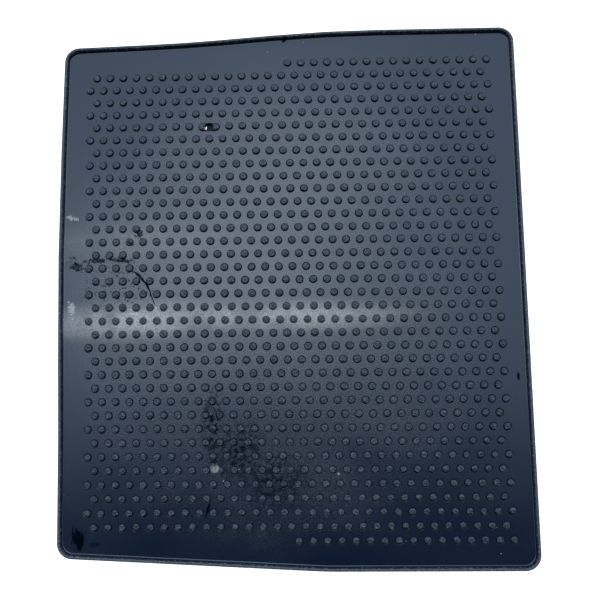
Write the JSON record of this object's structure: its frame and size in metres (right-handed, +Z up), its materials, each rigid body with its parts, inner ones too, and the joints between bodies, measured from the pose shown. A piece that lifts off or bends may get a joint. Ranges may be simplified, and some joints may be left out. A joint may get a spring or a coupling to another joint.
{
  "type": "snowboard stomp pad",
  "caption": "Flat rubber grip pad with a raised rim and a staggered field of round nubs, on adhesive with a slit release liner.",
  "frame": {"origin": "under the middle of the outline, on the underside of the release liner, where the pad rests", "axes": "+Z up out of the tread, +Y along the longer side, +X towards the square side, away from the two holes"},
  "size_m": [0.1535, 0.1772, 0.0049],
  "materials": {
    "rubber": "satin",
    "adhesive": "matte",
    "liner": "satin"
  },
  "bodies": {
    "pad": {"grip_pad": "rubber", "adhesive_sheet": "adhesive"},
    "liner_left": {"release_liner_left": "liner"},
    "liner_right": {"release_liner_right": "liner"}
  },
  "joints": [
    {"name": "peel_left_liner", "type": "hinge", "parent": "pad", "child": "liner_left", "pos_m": [-0.0757, 0, 0.00007], "axis": [0, 1, 0], "range_deg": [0, 180]},
    {"name": "peel_right_liner", "type": "hinge", "parent": "pad", "child": "liner_right", "pos_m": [0.0757, 0, 0.00007], "axis": [0, -1, 0], "range_deg": [0, 180]}
  ]
}
